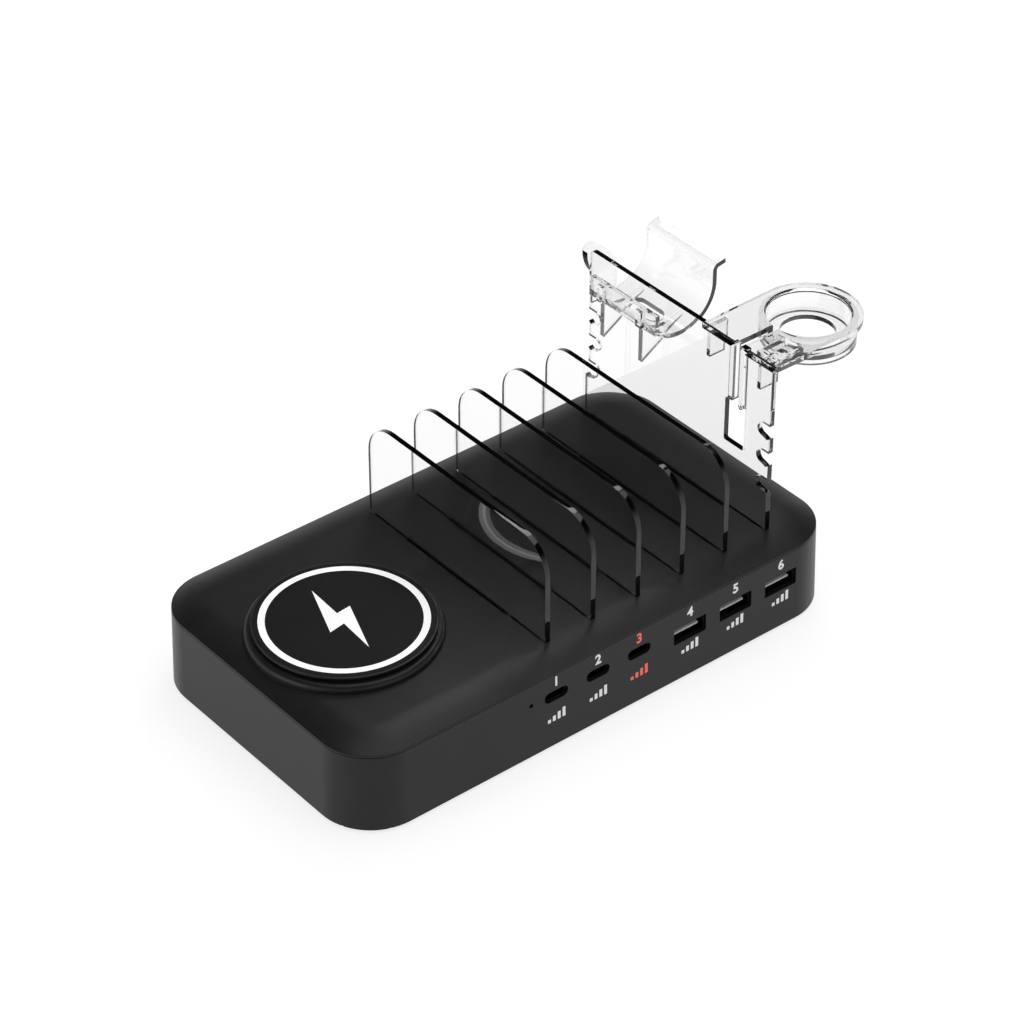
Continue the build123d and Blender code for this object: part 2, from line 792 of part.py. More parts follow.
# Case screws and rubber feet
with BuildPart() as case_screws:
    with BuildSketch(level(screw_bottom)):
        with GridLocations(2 * post_x, 2 * post_y, 2, 2):
            Circle(screw_head_radius)
    extrude(amount=screw_head_height)
    with BuildSketch(level(screw_head_top)):
        with GridLocations(2 * post_x, 2 * post_y, 2, 2):
            Circle(screw_radius)
    extrude(amount=screw_length)
save(case_screws, "case_screws")

with BuildPart() as rubber_feet:
    with BuildSketch(level(-foot_height)):
        with GridLocations(2 * post_x, 2 * post_y, 2, 2):
            Circle(foot_radius)
    extrude(amount=foot_height + foot_recess)
    chamfer(rubber_feet.edges().group_by(Axis.Z)[0], length=foot_chamfer)
save(rubber_feet, "rubber_feet")

# Five clear dividers: rounded upper corners, shoulders on the cover and a tongue in its socket
for number, divider_x in enumerate(sheet_xs[:divider_count], start=1):
    with BuildPart() as divider:
        with BuildSketch(across(divider_x)) as outline:
            with Locations((0, plateau)):
                Rectangle(divider_width, divider_rise, align=(Align.CENTER, Align.MIN))
            fillet(outline.vertices().group_by(Axis.Y)[-1], radius=divider_corner)
            with Locations((0, plateau)):
                Rectangle(tongue_width, tongue_depth, align=(Align.CENTER, Align.MAX))
            chamfer(outline.vertices().group_by(Axis.Y)[0], length=tongue_corner)
        extrude(amount=sheet)
    save(divider, f"divider_{number}")


def cable_notch(side, top):
    """Hooked notch in one edge of the plate: a round inner end, a falling floor and a lip."""
    edge = side * plate_width / 2
    mouth_floor = top - notch_mouth
    inner_y = edge - side * (notch_depth - notch_end_radius)
    lip_y = edge - side * notch_lip
    with BuildSketch() as notch:
        with BuildLine():
            outside = edge + side * overrun
            roof = Line((outside, top), (inner_y, top))
            end = ThreePointArc(
                roof @ 1,
                (edge - side * notch_depth, top - notch_end_radius),
                (inner_y, top - 2 * notch_end_radius),
            )
            floor = Line(end @ 1, (lip_y, top - notch_fall))
            lip = ThreePointArc(
                floor @ 1,
                (edge - side * notch_lip_curve, mouth_floor - notch_lip_curve),
                (edge, mouth_floor),
            )
            Polyline(lip @ 1, (outside, mouth_floor), (outside, top))
        make_face()
    return notch.sketch


# Tall clear plate, stepped down where the watch holder's shelf lies on it
step_y = ring_y + shelf_width / 2 + fit
notch_top = plate_top - notch_top_drop
window_z = trough_z - window_drop + window_height / 2
with BuildPart() as back_plate:
    with BuildSketch(across(plate_x)) as outline:
        with Locations((0, plateau)):
            Rectangle(plate_width, plate_rise, align=(Align.CENTER, Align.MIN))
        fillet(outline.vertices().group_by(Axis.Y)[-1], radius=plate_corner)
        with Locations((0, plateau)):
            Rectangle(tongue_width, tongue_depth, align=(Align.CENTER, Align.MAX))
        chamfer(outline.vertices().group_by(Axis.Y)[0], length=tongue_corner)
        with Locations((step_y, shelf_under - seat_gap)):
            Rectangle(
                plate_width, plate_rise, align=(Align.MAX, Align.MIN), mode=Mode.SUBTRACT
            )
        with BuildSketch(mode=Mode.SUBTRACT) as slot_foot:
            with Locations((cable_y, plateau + slot_foot_rise)):
                Rectangle(slot_foot_width, slot_foot_height, align=(Align.CENTER, Align.MIN))
            fillet(slot_foot.vertices(), radius=slot_corner)
        with Locations((cable_y, plateau + slot_foot_rise + slot_foot_height / 2)):
            Rectangle(
                slot_width, plate_rise, align=(Align.CENTER, Align.MIN), mode=Mode.SUBTRACT
            )
        with Locations((trough_y, window_z)):
            with GridLocations(gusset_spacing, 0, 2, 1):
                Rectangle(window_width, window_height, mode=Mode.SUBTRACT)
        for side in (-1, 1):
            for row in range(notch_count):
                add(cable_notch(side, notch_top - row * notch_pitch), mode=Mode.SUBTRACT)
    extrude(amount=sheet)
save(back_plate, "back_plate")

# Watch holder: a shelf on the plate's stepped edge, a cup for the charging puck, and two legs
# that run down the plate's cable slot
shelf_top = plate_top
cup_ledge = shelf_top - puck_depth
cup_bottom = cup_ledge - cup_floor - cup_skirt
leg_width = (slot_width - channel_width) / 2 - fit
leg_offset = (channel_width + leg_width) / 2
fin_x = plate_back + fit
recess_x = plate_x + shelf_recess_from_plate
recess_floor = shelf_top - shelf_recess_depth
with BuildPart() as watch_holder:
    with BuildSketch(level(shelf_under)):
        with BuildLine():
            Polyline(
                (plate_x, ring_y - shelf_width / 2),
                (ring_x, ring_y - ring_radius),
                (ring_x, ring_y + ring_radius),
                (plate_x, ring_y + shelf_width / 2),
                close=True,
            )
        make_face()
        with Locations((ring_x, ring_y)):
            Circle(ring_radius)
    extrude(amount=shelf_thickness)
    with BuildSketch(level(cup_bottom)):
        with Locations((ring_x, ring_y)):
            Circle(cup_radius)
    extrude(amount=shelf_under - cup_bottom)
    with BuildSketch(level(cup_ledge)):
        with Locations((ring_x, ring_y)):
            Circle(puck_radius)
    extrude(amount=puck_depth, mode=Mode.SUBTRACT)
    chamfer(
        at_height(watch_holder, shelf_top).filter_by(GeomType.CIRCLE).sort_by(SortBy.RADIUS)[0],
        length=puck_lead_in,
    )
    with BuildSketch(level(cup_bottom)):
        with Locations((ring_x, ring_y)):
            Circle(puck_radius)
    extrude(amount=cup_skirt, mode=Mode.SUBTRACT)
    with BuildSketch(level(cup_bottom)):
        with Locations((ring_x, ring_y)):
            Circle(cup_hole_radius)
    extrude(amount=puck_depth, mode=Mode.SUBTRACT)
    with BuildSketch(level(recess_floor - shelf_recess_wall)):
        with Locations((recess_x, shelf_recess_y)):
            Rectangle(
                shelf_recess_length + 2 * shelf_recess_wall,
                shelf_recess_width + 2 * shelf_recess_wall,
                align=(Align.MIN, Align.CENTER),
            )
    extrude(amount=shelf_under - recess_floor + shelf_recess_wall)
    with BuildSketch(level(recess_floor)):
        with Locations((recess_x + shelf_recess_wall, shelf_recess_y)):
            Rectangle(shelf_recess_length, shelf_recess_width, align=(Align.MIN, Align.CENTER))
    extrude(amount=shelf_recess_depth + overrun, mode=Mode.SUBTRACT)
    with BuildSketch(across(fin_x)):
        with Locations((ring_y + shelf_width / 2 - fin_inset, shelf_under)):
            Rectangle(fin_thickness, fin_height, align=(Align.MAX, Align.MAX))
        with Locations((shelf_recess_y, shelf_under)):
            Rectangle(fin_thickness, fin_height, align=(Align.CENTER, Align.MAX))
    extrude(amount=fin_reach)
    with BuildSketch(across(plate_x)) as legs:
        with Locations((cable_y + leg_offset, shelf_under)):
            Rectangle(leg_width, leg_length, align=(Align.CENTER, Align.MAX))
        with Locations((cable_y - leg_offset, shelf_under)):
            Rectangle(leg_width, leg_length + leg_step, align=(Align.CENTER, Align.MAX))
        fillet(legs.vertices().group_by(Axis.Y)[0], radius=leg_round)
    extrude(amount=leg_depth)
    with BuildSketch(level(shelf_top - channel_depth)):
        with Locations((plate_x - overrun, cable_y)):
            Rectangle(
                ring_from_plate + overrun, channel_width, align=(Align.MIN, Align.CENTER)
            )
    extrude(amount=channel_depth + overrun, mode=Mode.SUBTRACT)
save(watch_holder, "watch_holder")

# Earbud tray: a trough behind the plate on a flange and two gussets, with a leaning ear at one
# end and two lugs that press into the plate's windows
flange_x = plate_back + fit
trough_start_angle = 180 + degrees(acos((trough_x - flange_x - trough_wall / 2) / trough_radius))
trough_end_y = trough_y + trough_length / 2
ear_y = trough_end_y - trough_wall / 2
ear_top = trough_z + ear_top_lift
ear_shoulder = ear_top - ear_width / 2
ear_stock = 2 * ear_width
with BuildPart() as tray_ear:
    with BuildSketch(across(flange_x)):
        with BuildLine():
            stem = Line(
                (ear_y, trough_z - trough_radius - trough_wall), (ear_y, trough_z - ear_bend_drop)
            )
            bend = JernArc(stem @ 1, stem % 1, ear_bend_radius, -ear_lean)
            PolarLine(bend @ 1, ear_bend_drop + ear_top_lift, direction=bend % 1)
        trace(line_width=trough_wall)
    extrude(amount=ear_width)
    with BuildSketch(along(trough_end_y + ear_stock)):
        with BuildLine():
            inner = Line((trough_x, trough_z - trough_radius), (trough_x, ear_shoulder))
            crest = ThreePointArc(
                inner @ 1,
                (trough_x - ear_width / 2, ear_top),
                (trough_x - ear_width, ear_shoulder),
            )
            Polyline(
                crest @ 1,
                (trough_x - ear_width, trough_z - trough_radius),
                (trough_x, trough_z - trough_radius),
            )
        make_face()
    extrude(amount=2 * ear_stock, mode=Mode.INTERSECT)
with BuildPart() as earbud_tray:
    with BuildSketch(along(trough_y + gusset_spacing / 2 + gusset_thickness / 2)):
        with BuildLine():
            Polyline(
                (flange_x, trough_z - gusset_foot_drop),
                (flange_x + gusset_reach, trough_z - gusset_tip_drop),
                (trough_x, trough_z),
                (flange_x, trough_z),
                close=True,
            )
        make_face()
    extrude(amount=gusset_thickness)
    mirror(about=Plane.XZ.offset(-trough_y))
    with BuildSketch(along(trough_end_y)):
        with Locations((trough_x, trough_z)):
            Circle(trough_radius)
    extrude(amount=trough_length, mode=Mode.SUBTRACT)
    with BuildSketch(along(trough_end_y)):
        with BuildLine():
            bowl = CenterArc(
                (trough_x, trough_z), trough_radius, trough_start_angle, 360 - trough_start_angle
            )
            back = Line(bowl @ 1, (trough_x + trough_radius, trough_z + trough_back_height))
            bend = JernArc(back @ 1, back % 1, trough_lip_radius, -trough_lip_turn)
            PolarLine(bend @ 1, trough_lip_run, direction=bend % 1)
        trace(line_width=trough_wall)
        with Locations((flange_x, trough_z - flange_top_drop)):
            Rectangle(trough_wall, flange_height, align=(Align.MIN, Align.MAX))
    extrude(amount=trough_length)
    add(tray_ear.part)
    with BuildSketch(across(flange_x)):
        with Locations((trough_y, window_z)):
            with GridLocations(gusset_spacing, 0, 2, 1):
                Rectangle(lug_width, window_height - 2 * fit)
    extrude(amount=-lug_length)
    with BuildSketch(level(trough_z - trough_radius - trough_wall)):
        with Locations((trough_x, trough_y)):
            SlotOverall(trough_hole_length, trough_hole_width, rotation=90)
    extrude(amount=2 * trough_wall + overrun, mode=Mode.SUBTRACT)
save(earbud_tray, "earbud_tray")
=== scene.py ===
# %% [markdown]
# # A charging station with clear dividers
# A flat dark case holds the electronics. Clear sheets stand in its top, and a tall clear plate carries
# two clear mouldings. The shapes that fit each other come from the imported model. This script gives
# every surface its finish, adds the print, and sets up a white studio.

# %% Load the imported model
import json
import math

import bmesh
import bpy
from mathutils import Matrix, Vector


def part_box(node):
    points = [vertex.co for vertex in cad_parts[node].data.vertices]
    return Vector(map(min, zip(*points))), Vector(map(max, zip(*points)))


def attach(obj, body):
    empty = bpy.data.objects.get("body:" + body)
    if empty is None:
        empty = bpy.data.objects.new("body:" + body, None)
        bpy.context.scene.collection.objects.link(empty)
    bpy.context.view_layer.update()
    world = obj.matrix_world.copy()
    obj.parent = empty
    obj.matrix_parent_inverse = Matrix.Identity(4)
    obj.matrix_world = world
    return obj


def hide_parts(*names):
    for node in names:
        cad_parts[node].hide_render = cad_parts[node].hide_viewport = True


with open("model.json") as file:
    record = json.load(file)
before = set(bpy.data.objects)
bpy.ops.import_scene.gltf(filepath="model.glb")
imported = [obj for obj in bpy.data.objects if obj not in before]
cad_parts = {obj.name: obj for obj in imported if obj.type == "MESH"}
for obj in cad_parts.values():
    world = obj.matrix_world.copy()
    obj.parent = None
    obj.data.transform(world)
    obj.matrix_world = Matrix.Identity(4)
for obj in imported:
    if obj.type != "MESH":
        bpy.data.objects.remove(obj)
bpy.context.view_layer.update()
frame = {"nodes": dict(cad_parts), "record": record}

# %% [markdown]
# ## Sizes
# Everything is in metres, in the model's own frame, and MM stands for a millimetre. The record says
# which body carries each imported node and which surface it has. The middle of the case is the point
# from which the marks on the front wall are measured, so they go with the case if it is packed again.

MM = 0.001
record = frame["record"]
node_body = {n: body for body, nodes in record["behaviour"]["bodies"].items() for n in nodes}
node_slot = {row["node"]: row["material_slot"] for row in record["subparts"]}
case_low, case_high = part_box("lower_case")
case_middle = (case_low + case_high) / 2

# %% [markdown]
# ## Camera
# A product is usually taken with a long lens from some way off, so that its edges stay nearly parallel.
# A camera could be typed in as a place and three angles. Turning and tilting it by two angles round a
# target is easier to change: here it stands to the front left and looks down at about 36 degrees.

# %% Camera
azimuth = math.radians(-39.171)
elevation = math.radians(36.372)
distance = 1.2568
target = Vector((0.03369, 0.04908, 0.001))
back = Vector((
    math.sin(azimuth) * math.cos(elevation),
    -math.cos(azimuth) * math.cos(elevation),
    math.sin(elevation),
))
camera_data = bpy.data.cameras.new("camera")
camera_data.sensor_width = 36.0
camera_data.lens = 127.54
camera_data.clip_end = 20.0
camera = bpy.data.objects.new("camera", camera_data)
camera.location = target + back * distance
camera.rotation_euler = (math.pi / 2 - elevation, 0, azimuth)
bpy.context.scene.collection.objects.link(camera)
bpy.context.scene.camera = camera
print("camera at", [round(c, 4) for c in camera.location])

# %% [markdown]
# ## Node trees
# One small function adds any node. A value given to an input is typed into it, and an output given to
# an input is linked to it, so a finish reads as a list of nodes from the pattern to the shader. Colours
# are written as on a screen, and nodes take linear light, so another function turns one to the other.

# %% Adding a node, and colours
def add(tree, kind, inputs=None, **settings):
    """Adds a node with its settings; an input gets a value, or a link if it is given a socket."""
    made = tree.nodes.new(kind)
    for name, value in settings.items():
        setattr(made, name, value)
    for name, value in (inputs or {}).items():
        if isinstance(value, bpy.types.NodeSocket):
            tree.links.new(value, made.inputs[name])
        else:
            made.inputs[name].default_value = value
    return made


def linear(colour):
    """A screen colour such as #202020 as the linear red, green, blue and alpha that a node takes."""
    parts = [int(colour[i:i + 2], 16) / 255 for i in (1, 3, 5)]
    return [p / 12.92 if p <= 0.04045 else ((p + 0.055) / 1.055) ** 2.4 for p in parts] + [1.0]


def blank(name):
    """A new material with an empty node tree."""
    material = bpy.data.materials.new(name)
    material.use_nodes = True
    material.node_tree.nodes.clear()
    return material, material.node_tree


print("a mid grey on the screen in linear light:", round(linear("#808080")[0], 3))

# %% [markdown]
# ## White surroundings
# A white room is the usual background, but a plain white world would also flood the object with light.
# Light Path tells what a ray is for. Rays that go straight to the camera, or there by way of a mirror
# or of clear plastic, meet white, and the rays that only carry light meet a plain level. Overhead the
# room is dark to reflections and bent light, as a studio's ceiling is: that is what keeps the case's
# top black and draws the edges of clear plastic.

# %% Which rays see the background
def sees_background(tree):
    """1 for rays that should meet the white background: straight, mirrored and through glass."""
    path = add(tree, "ShaderNodeLightPath")
    mirrored = add(tree, "ShaderNodeMath", operation="MAXIMUM", inputs={
        0: path.outputs["Is Camera Ray"], 1: path.outputs["Is Glossy Ray"]})
    seen = add(tree, "ShaderNodeMath", operation="MAXIMUM", inputs={
        0: mirrored.outputs[0], 1: path.outputs["Is Transmission Ray"]})
    return seen.outputs[0]


print("white to rays that come straight, from a mirror or through clear plastic")

# %% World
room_level = 0.4
ceiling_level = 0.03
walls_end, ceiling_starts = 0.1, 0.55
world = bpy.data.worlds.new("white_studio")
bpy.context.scene.world = world
world.use_nodes = True
world.node_tree.nodes.clear()
tree = world.node_tree
direction = add(tree, "ShaderNodeTexCoord").outputs["Generated"]
rise = add(tree, "ShaderNodeSeparateXYZ", {"Vector": direction}).outputs["Z"]
dimming = add(tree, "ShaderNodeMapRange", {
    "Value": rise, "From Min": walls_end, "From Max": ceiling_starts,
    "To Min": 1.0, "To Max": ceiling_level})
straight = add(tree, "ShaderNodeLightPath").outputs["Is Camera Ray"]
brightness = add(tree, "ShaderNodeMath", operation="MAXIMUM", inputs={
    0: straight, 1: dimming.outputs[0]})
room_light = add(tree, "ShaderNodeBackground", {"Color": linear("#ffffff"), "Strength": room_level})
white = add(tree, "ShaderNodeBackground", {
    "Color": linear("#ffffff"), "Strength": brightness.outputs[0]})
either = add(tree, "ShaderNodeMixShader", {
    0: sees_background(tree), 1: room_light.outputs[0], 2: white.outputs[0]})
add(tree, "ShaderNodeOutputWorld", {"Surface": either.outputs[0]})
print("world: light level", room_level, "and ceiling level", ceiling_level)

# %% [markdown]
# ## Floor
# The object stands on a sweep of matt grey paper, which takes its shadow. White paper would throw much
# light up into the clear plastic. So the paper is grey and gets a glow that only the camera, mirrors
# and clear plastic see, just strong enough to lift its unshadowed part to white.

# %% Paper floor
floor_half = 3.0
floor_glow = 0.77
paper, tree = blank("white_paper_sweep")
matt = add(tree, "ShaderNodeBsdfDiffuse", {"Color": linear("#9a9a9a")})
shown = add(tree, "ShaderNodeMath", operation="MULTIPLY", inputs={
    0: sees_background(tree), 1: floor_glow})
glow = add(tree, "ShaderNodeEmission", {"Color": linear("#ffffff"), "Strength": shown.outputs[0]})
lifted = add(tree, "ShaderNodeAddShader", {0: matt.outputs[0], 1: glow.outputs[0]})
add(tree, "ShaderNodeOutputMaterial", {"Surface": lifted.outputs[0]})

bm = bmesh.new()
bmesh.ops.create_grid(bm, x_segments=1, y_segments=1, size=floor_half)
floor_mesh = bpy.data.meshes.new("floor")
bm.to_mesh(floor_mesh)
bm.free()
floor = bpy.data.objects.new("floor", floor_mesh)
floor.data.materials.append(paper)
bpy.context.scene.collection.objects.link(floor)
print("floor half size", floor_half)

# %% [markdown]
# ## Lamps
# Four square lamps light the case, each turned to its middle. The side one lights the end wall, the
# front one the wall with the sockets, and the top one the flat top. The small high one behind the
# object gives the right end of the top its faint sheen. Point lamps would draw hard shadows and bright
# dots in the clear edges. Large squares give the soft shadows of a studio's softboxes.

# %% Lamps
lamps = {
    "side_softbox": {"at": (-1.5, 0.1, 0.3), "size": 0.9, "power": 5.5},
    "front_softbox": {"at": (0.1, -1.5, 0.6), "size": 1.0, "power": 2.1},
    "top_softbox": {"at": (0.3, -0.1, 1.7), "size": 1.4, "power": 10.3},
    "high_strip": {"at": (0.28, 0.24, 0.50), "size": 0.2, "power": 0.52},
}
for lamp_name, lamp in lamps.items():
    light = bpy.data.lights.new(lamp_name, "AREA")
    light.size = lamp["size"]
    light.energy = lamp["power"]
    holder = bpy.data.objects.new(lamp_name, light)
    holder.location = lamp["at"]
    holder.rotation_euler = (case_middle - holder.location).to_track_quat("-Z", "Y").to_euler()
    bpy.context.scene.collection.objects.link(holder)
bpy.context.scene.view_settings.view_transform = "Standard"
print("lamps:", ", ".join(lamps))

# %% [markdown]
# ## Finishes
# Most surfaces here are moulded, sintered, plated or rolled. To the eye that is a colour that drifts a
# little over some millimetres, and a fine grain that dulls the gloss and breaks up reflections. Each
# could be painted as an image, but noise needs no unwrapping and keeps its real size on any piece. One
# function makes them all from the grain in millimetres.

# %% A grained finish
drift_in_grains = 24
drift_detail = 3.0
dark_end, light_end = 0.3, 0.7
grain_detail = 2.0
relief_strength = 0.6


def grained(name, dark, light, grain, relief, gloss, **shader):
    """A finish whose colour runs between two shades, with a grain and a relief in millimetres."""
    material, tree = blank(name)
    place = add(tree, "ShaderNodeTexCoord").outputs["Object"]
    drift = add(tree, "ShaderNodeTexNoise", {
        "Vector": place, "Scale": 1 / (drift_in_grains * grain * MM), "Detail": drift_detail})
    colour = add(tree, "ShaderNodeValToRGB", {"Fac": drift.outputs["Fac"]})
    colour.color_ramp.elements[0].position = dark_end
    colour.color_ramp.elements[0].color = linear(dark)
    colour.color_ramp.elements[1].position = light_end
    colour.color_ramp.elements[1].color = linear(light)
    grain_noise = add(tree, "ShaderNodeTexNoise", {
        "Vector": place, "Scale": 1 / (grain * MM), "Detail": grain_detail})
    dulled = add(tree, "ShaderNodeMapRange", {
        "Value": grain_noise.outputs["Fac"], "To Min": gloss[0], "To Max": gloss[1]})
    bump = add(tree, "ShaderNodeBump", {
        "Height": grain_noise.outputs["Fac"], "Distance": relief * MM, "Strength": relief_strength})
    surface = add(tree, "ShaderNodeBsdfPrincipled", {
        "Base Color": colour.outputs["Color"], "Roughness": dulled.outputs[0],
        "Normal": bump.outputs["Normal"], **shader})
    add(tree, "ShaderNodeOutputMaterial", {"Surface": surface.outputs[0]})
    return material


print("colours drift over", drift_in_grains, "grains")

# %% [markdown]
# ## Plastics and rubber
# Each row is a real finish: its darker and lighter shade, its grain and relief in millimetres, and its
# gloss from the shiniest to the dullest spot. A grain that is finer than a pixel of the render is drawn
# as coarse as it needs to be seen, which here is a quarter of a millimetre or more.

# %% Dark plastics and rubber
finishes = {
    # Spark-eroded ABS: dark, satin, with a fine even grain that breaks up reflections
    "case_plastic": grained("spark_eroded_abs", "#151515", "#191919", 0.35, 0.01, (0.34, 0.44),
                            **{"Specular IOR Level": 0.28}),
    # The same plastic from a polished tool: a little glossier, so the flange shows a light line
    "pad_plastic": grained("satin_abs", "#171717", "#1b1b1b", 0.3, 0.004, (0.3, 0.38),
                           **{"Specular IOR Level": 0.35}),
    # Hard-coated polycarbonate film: flat, dark, and even
    "pad_film": grained("hard_coated_film", "#0f0f0f", "#121212", 0.25, 0.002, (0.4, 0.48),
                        **{"Specular IOR Level": 0.14}),
    # Moulded rubber: dull and slightly rough, with hardly a reflection
    "foot_rubber": grained("moulded_rubber", "#161616", "#202020", 0.5, 0.03, (0.75, 0.9)),
    # Glass-filled nylon: matt black, clouded by its fibres
    "insulator_plastic": grained("glass_filled_nylon", "#0f0f0f", "#161616", 0.3, 0.01, (0.5, 0.62)),
}
print("plastics and rubber:", len(finishes))

# %% [markdown]
# ## Metals and the parts inside
# The sockets' shells and the inlet's pins are metal, which takes its colour from what it mirrors, so
# the metals' rows are fully metallic and keep the usual IOR. The case hides the rest. It is dressed too,
# because any part can be taken out of the model and shown by itself.

# %% Metals, ceramic, lacquer and insulation
finishes.update({
    # Nickel-plated brass: warm and bright, as the plating is thin
    "plated_brass": grained("nickel_plated_brass", "#c9c2ac", "#dcd6c4", 0.4, 0.002, (0.2, 0.3),
                            Metallic=1.0),
    # Black-plated steel: a dark metal that still mirrors light along its folds
    "drawn_steel": grained("black_plated_steel", "#232325", "#2d2d30", 0.4, 0.003, (0.3, 0.42),
                           Metallic=1.0),
    # Enamelled copper: the orange of the wire under a clear coat
    "copper_wire": grained("enamelled_copper", "#a1562c", "#bd6c3c", 0.5, 0.05, (0.3, 0.42),
                           Metallic=1.0),
    # Sintered ferrite: a grey ceramic, dull and finely pitted
    "ferrite": grained("sintered_ferrite", "#26272a", "#323338", 0.4, 0.02, (0.55, 0.7)),
    # Solder mask: an even green lacquer over the board
    "board_laminate": grained("solder_mask", "#0b3d22", "#0f4a2b", 0.6, 0.004, (0.32, 0.42)),
    # Silicone insulation: dark red and soft looking
    "lead_insulation": grained("silicone_insulation", "#7a1410", "#8a1c16", 0.5, 0.004, (0.5, 0.6)),
    # Drawn aluminium: pale, with a light satin from the drawing
    "can_aluminium": grained("drawn_aluminium", "#b9babd", "#cccdd0", 0.4, 0.003, (0.28, 0.38),
                             Metallic=1.0),
    # Smoked polycarbonate: nearly black until a lamp behind it is lit
    "light_pipe_plastic": grained("smoked_polycarbonate", "#0c0c0c", "#121212", 0.3, 0.002,
                                  (0.2, 0.3)),
})
print("grained finishes:", len(finishes))

# %% [markdown]
# ## Clear plastic
# Cast acrylic and clear polycarbonate bend light but hardly colour it, so the faces vanish and the
# edges go dark or bright with what they bend the eye towards. A Glass node could do this. The
# Principled shader at full transmission does it too and has the inputs of the other finishes. The only
# pattern is in the gloss: wiped plastic has very faint cloudy patches. The plastic takes a little light
# with depth, which the thin faces hide and the long way along an edge shows as grey.

# %% Clear finishes
patch_detail = 3.0


def clear(name, tint, ior, patch, gloss, smoke):
    """A clear plastic with cloudy patches of a size in millimetres, smoky by so much per metre."""
    material, tree = blank(name)
    place = add(tree, "ShaderNodeTexCoord").outputs["Object"]
    patches = add(tree, "ShaderNodeTexNoise", {
        "Vector": place, "Scale": 1 / (patch * MM), "Detail": patch_detail})
    wiped = add(tree, "ShaderNodeMapRange", {
        "Value": patches.outputs["Fac"], "To Min": gloss[0], "To Max": gloss[1]})
    surface = add(tree, "ShaderNodeBsdfPrincipled", {
        "Base Color": linear(tint), "Roughness": wiped.outputs[0], "IOR": ior,
        "Transmission Weight": 1.0})
    depth = add(tree, "ShaderNodeVolumeAbsorption", {"Color": linear("#000000"), "Density": smoke})
    add(tree, "ShaderNodeOutputMaterial", {
        "Surface": surface.outputs[0], "Volume": depth.outputs[0]})
    return material


# Cast acrylic: the flattest and clearest sheet, so only its edges draw lines
finishes["clear_acrylic"] = clear("cast_acrylic", "#fdfdfd", 1.49, 9.0, (0.0, 0.02), 18.0)
# Moulded polycarbonate: bends light more, with a little more cloud from the tool
finishes["clear_moulding"] = clear("clear_polycarbonate", "#fdfdfd", 1.56, 7.0, (0.0, 0.03), 18.0)
# Drawn glass: faintly green, and hardly smoky
finishes["fuse_glass"] = clear("fuse_glass_tube", "#f0f6f4", 1.5, 4.0, (0.0, 0.03), 5.0)
print("finishes with the clear ones:", len(finishes))

# %% [markdown]
# ## Ink with a painted glow, and painted light lines
# The marks are screen printed: a thin, even, half-matt layer. A weak emission in the ink's own colour is
# a painted glow, which keeps the print paler than its place in the shade would make it. The light lines
# in the wide sockets are painted highlights, made by small boxes in a pale ivory finish.

# %% Print and nylon finishes
# Painted glow: a weak emission in each ink's own colour keeps the print paler than the shade where it
# lies would make it
white_ink_painted_glow = 0.22
salmon_ink_painted_glow = 0.35
finishes["white_print_painted_glow"] = grained(
    "screen_printed_white_painted_glow", "#f2f2f2", "#ffffff", 0.3, 0.002, (0.5, 0.6),
    **{"Emission Color": linear("#ffffff"), "Emission Strength": white_ink_painted_glow})
finishes["salmon_print_painted_glow"] = grained(
    "screen_printed_salmon_painted_glow", "#e8604f", "#ef7565", 0.3, 0.002, (0.5, 0.6),
    **{"Emission Color": linear("#ef7565"), "Emission Strength": salmon_ink_painted_glow})
# Pale ivory for a painted highlight: the light line under each wide socket's tongue
finishes["painted_highlight_ivory"] = grained("painted_highlight_ivory", "#e6e6e2", "#f4f4f0", 0.3, 0.002, (0.5, 0.6))
print("all finishes:", len(finishes))

# %% [markdown]
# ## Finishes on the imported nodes
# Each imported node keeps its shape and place, and only its material changes. The record lists a surface
# for every node, so one loop dresses them all, those inside the case too.

# %% Dress the nodes
for name, shown_node in frame["nodes"].items():
    shown_node.data.materials.clear()
    shown_node.data.materials.append(finishes[node_slot[name]])
print("nodes dressed:", len(frame["nodes"]))

# %% [markdown]
# ## A piece on its body
# A shape is finished when it is an object that goes with its body. Its faces are shaded smooth except
# across sharp edges, and Weighted Normal evens the shading where a long flat face meets narrow rounds.
# The object stays at the origin and its place is in its mesh, so a finish that reads Object coordinates
# stays where it is.

# %% From a bmesh to a piece
sharp_angle = math.radians(28)


def as_piece(bm, name, body, finish):
    """Turns a bmesh into a piece that rides on a body, with smooth shading between its sharp edges."""
    for face in bm.faces:
        face.smooth = True
    for edge in bm.edges:
        edge.smooth = len(edge.link_faces) == 2 and edge.calc_face_angle() < sharp_angle
    mesh = bpy.data.meshes.new(name)
    bm.to_mesh(mesh)
    bm.free()
    piece = bpy.data.objects.new(name, mesh)
    piece.data.materials.append(finishes[finish])
    bpy.context.scene.collection.objects.link(piece)
    weighted = piece.modifiers.new("even_shading", "WEIGHTED_NORMAL")
    weighted.keep_sharp = True
    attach(piece, body)
    return piece


print("edges are sharp from", round(math.degrees(sharp_angle)), "degrees")

# %% [markdown]
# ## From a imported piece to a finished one
# A real piece has no perfectly sharp edge: a tool or a cutter leaves a small round that catches a line
# of light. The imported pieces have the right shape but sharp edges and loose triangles. A Bevel
# modifier can pick edges by their angle, but on the sheets they are picked by height too. So a copy is
# welded, its flat areas are joined into single faces, and its sharp edges are picked and bevelled.

# %% Rounding a copy
weld_distance = 0.002 * MM
flat_angle = math.radians(0.6)
round_segments = 2


